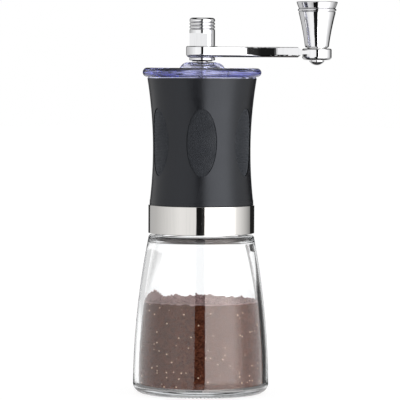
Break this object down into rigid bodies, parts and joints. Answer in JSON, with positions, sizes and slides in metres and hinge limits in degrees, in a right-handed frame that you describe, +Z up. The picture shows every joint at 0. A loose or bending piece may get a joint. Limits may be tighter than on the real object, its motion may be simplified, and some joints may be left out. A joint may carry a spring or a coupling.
{
  "type": "hand crank coffee grinder",
  "caption": "Hand crank coffee grinder: waisted grip body with oval pads and a conical burr mill, clear tinted lid, long crank with a turned knob, and a screw-on glass jar.",
  "frame": {"origin": "centre of the jar's foot ring, on the mill's axis, at the surface it stands on", "axes": "+Z up along the mill's axis, +X along the crank arm at rest"},
  "size_m": [0.1088, 0.0728, 0.2101],
  "materials": {
    "polished_metal": "polished",
    "steel": "satin",
    "violet_plastic": "clear tinted gloss",
    "black_plastic": "satin",
    "pad_rubber": "fine stipple",
    "white_plastic": "smooth",
    "burr_ceramic": "matte",
    "seal_rubber": "matte",
    "clear_glass": "clear"
  },
  "bodies": {
    "jar": {"glass_jar": "clear_glass"},
    "seal": {"jar_seal": "seal_rubber"},
    "mill": {"grip_body": "black_plastic", "grip_pad_1": "pad_rubber", "grip_pad_2": "pad_rubber", "grip_pad_3": "pad_rubber", "grip_pad_4": "pad_rubber", "grip_pad_5": "pad_rubber", "grip_pad_6": "pad_rubber", "steel_band": "polished_metal", "bearing_bridge": "black_plastic", "upper_bush": "white_plastic", "hopper_core": "black_plastic", "lower_bush": "white_plastic", "core_screws": "steel", "ring_burr": "burr_ceramic", "burr_retainer": "steel", "retainer_screws": "steel"},
    "lid": {"lid": "violet_plastic"},
    "shaft": {"drive_shaft": "steel", "shaft_clip": "steel", "thrust_washer": "steel", "end_clip": "steel", "burr_spring": "steel", "spring_washer": "steel"},
    "crank": {"crank_arm": "polished_metal", "crank_nut": "polished_metal", "hub_collar": "polished_metal", "knob_washer": "steel"},
    "knob": {"crank_knob": "polished_metal", "knob_screw": "polished_metal"},
    "burr": {"cone_burr": "burr_ceramic", "burr_carrier": "black_plastic"},
    "adjuster": {"adjuster_nut": "black_plastic"}
  },
  "joints": [
    {"name": "mill_rise", "type": "slide", "parent": "jar", "child": "seal", "axis": [0, 0, 1], "range_m": [0, 0.01]},
    {"name": "mill_turn", "type": "hinge", "parent": "seal", "child": "mill", "pos_m": [0, 0, 0.0974], "axis": [0, 0, 1], "range_deg": [0, 900]},
    {"name": "lid_lift", "type": "slide", "parent": "mill", "child": "lid", "axis": [0, 0, 1], "range_m": [0, 0.036]},
    {"name": "crank_turn", "type": "hinge", "parent": "mill", "child": "shaft", "pos_m": [0, 0, 0.158], "axis": [0, 0, 1], "continuous": true},
    {"name": "crank_lift", "type": "slide", "parent": "shaft", "child": "crank", "axis": [0, 0, 1], "range_m": [0, 0.06]},
    {"name": "knob_spin", "type": "hinge", "parent": "crank", "child": "knob", "pos_m": [0.0614, 0, 0.185], "axis": [0, 0, 1], "continuous": true},
    {"name": "burr_set", "type": "slide", "parent": "shaft", "child": "burr", "axis": [0, 0, 1], "range_m": [-0.002, 0], "deforming": ["burr_spring"]},
    {"name": "adjuster_turn", "type": "hinge", "parent": "burr", "child": "adjuster", "pos_m": [0, 0, 0.093], "axis": [0, 0, 1], "range_deg": [-720, 0]}
  ],
  "couplings": [
    {"joint": "mill_rise", "follows": "mill_turn", "m_per_rad": 0.00063662},
    {"joint": "lid_lift", "follows": "crank_lift", "ratio": 0.6},
    {"joint": "adjuster_turn", "follows": "burr_set", "rad_per_m": 6283.2}
  ]
}
